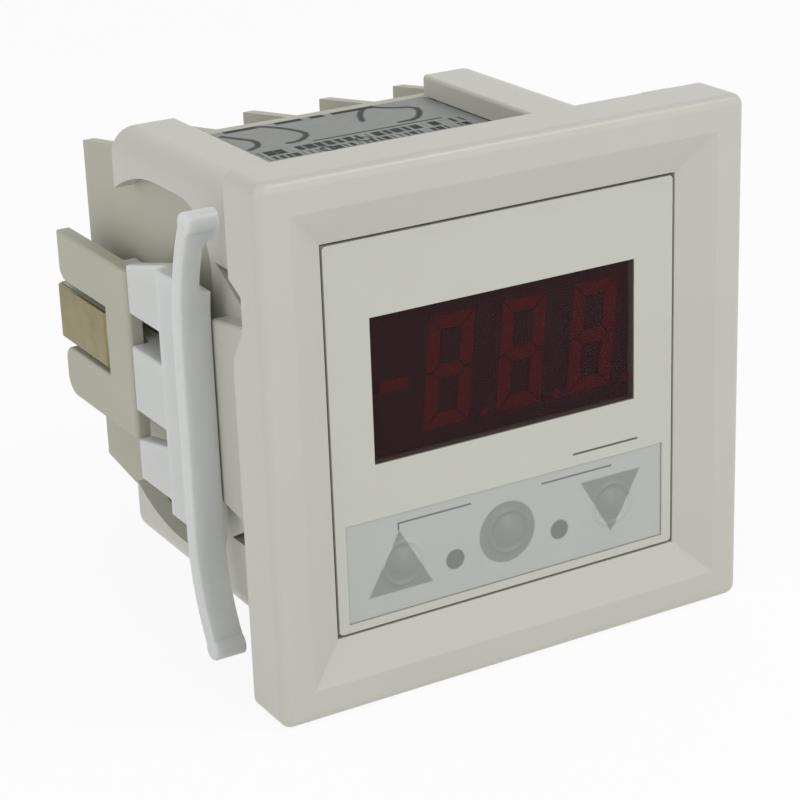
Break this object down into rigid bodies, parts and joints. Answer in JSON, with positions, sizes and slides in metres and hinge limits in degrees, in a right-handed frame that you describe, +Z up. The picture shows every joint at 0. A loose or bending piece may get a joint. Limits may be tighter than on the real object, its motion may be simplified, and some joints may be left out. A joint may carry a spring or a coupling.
{
  "type": "digital flow switch",
  "caption": "Square panel-mounted digital switch with a seven-segment window, keys under a film, a bevelled frame, sliding side clamps and a finned screw terminal block.",
  "frame": {"origin": "centre of the square panel cut-out, in the plane of the front frame's rear face, which lies on the panel", "axes": "+Z up, +X to the right as seen from the front, +Y back through the panel; the display faces -Y"},
  "size_m": [0.0414, 0.0408, 0.04],
  "materials": {
    "adapter_plastic": "matte",
    "case_plastic": "matte",
    "face_print": "satin",
    "film_plastic": "satin",
    "window_filter": "gloss",
    "display_plastic": "matte",
    "light_guide": "satin",
    "circuit_board": "satin",
    "component_plastic": "matte",
    "capacitor_can": "satin",
    "key_plastic": "matte",
    "switch_stem": "satin",
    "lamp_resin": "gloss",
    "terminal_plastic": "matte",
    "clamp_plastic": "satin",
    "brass_sheet": "satin",
    "plated_brass": "satin",
    "plated_steel": "satin",
    "label_film": "satin"
  },
  "bodies": {
    "unit": {"panel_adapter": "adapter_plastic", "display_case": "case_plastic", "face_sheet": "face_print", "key_film": "film_plastic", "display_window": "window_filter", "display_module": "display_plastic", "display_segments": "light_guide", "display_board": "circuit_board", "main_board": "circuit_board", "terminal_board": "circuit_board", "front_header": "component_plastic", "rear_header": "component_plastic", "controller_chip": "component_plastic", "smoothing_capacitor": "capacitor_can", "output_lamp_left": "lamp_resin", "output_lamp_right": "lamp_resin", "output_transistor_left": "component_plastic", "output_transistor_right": "component_plastic", "terminal_block": "terminal_plastic", "terminal_plates": "plated_brass", "terminal_washers": "plated_steel", "terminal_screws": "plated_steel", "side_clip_left": "brass_sheet", "side_clip_right": "brass_sheet", "wiring_label": "label_film", "tact_switch_up": "component_plastic", "tact_switch_set": "component_plastic", "tact_switch_down": "component_plastic"},
    "up_key": {"key_up": "key_plastic", "switch_stem_up": "switch_stem"},
    "set_key": {"key_set": "key_plastic", "switch_stem_set": "switch_stem"},
    "down_key": {"key_down": "key_plastic", "switch_stem_down": "switch_stem"},
    "left_clamp": {"panel_clamp_left": "clamp_plastic"},
    "right_clamp": {"panel_clamp_right": "clamp_plastic"}
  },
  "joints": [
    {"name": "up_key_press", "type": "slide", "parent": "unit", "child": "up_key", "axis": [0, 1, 0], "range_m": [0, 0.00025], "stiffness_N_per_m": 4000},
    {"name": "set_key_press", "type": "slide", "parent": "unit", "child": "set_key", "axis": [0, 1, 0], "range_m": [0, 0.00025], "stiffness_N_per_m": 4000},
    {"name": "down_key_press", "type": "slide", "parent": "unit", "child": "down_key", "axis": [0, 1, 0], "range_m": [0, 0.00025], "stiffness_N_per_m": 4000},
    {"name": "left_clamp_slide", "type": "slide", "parent": "unit", "child": "left_clamp", "axis": [0, -1, 0], "range_m": [0, 0.0037]},
    {"name": "right_clamp_slide", "type": "slide", "parent": "unit", "child": "right_clamp", "axis": [0, -1, 0], "range_m": [0, 0.0037]}
  ]
}
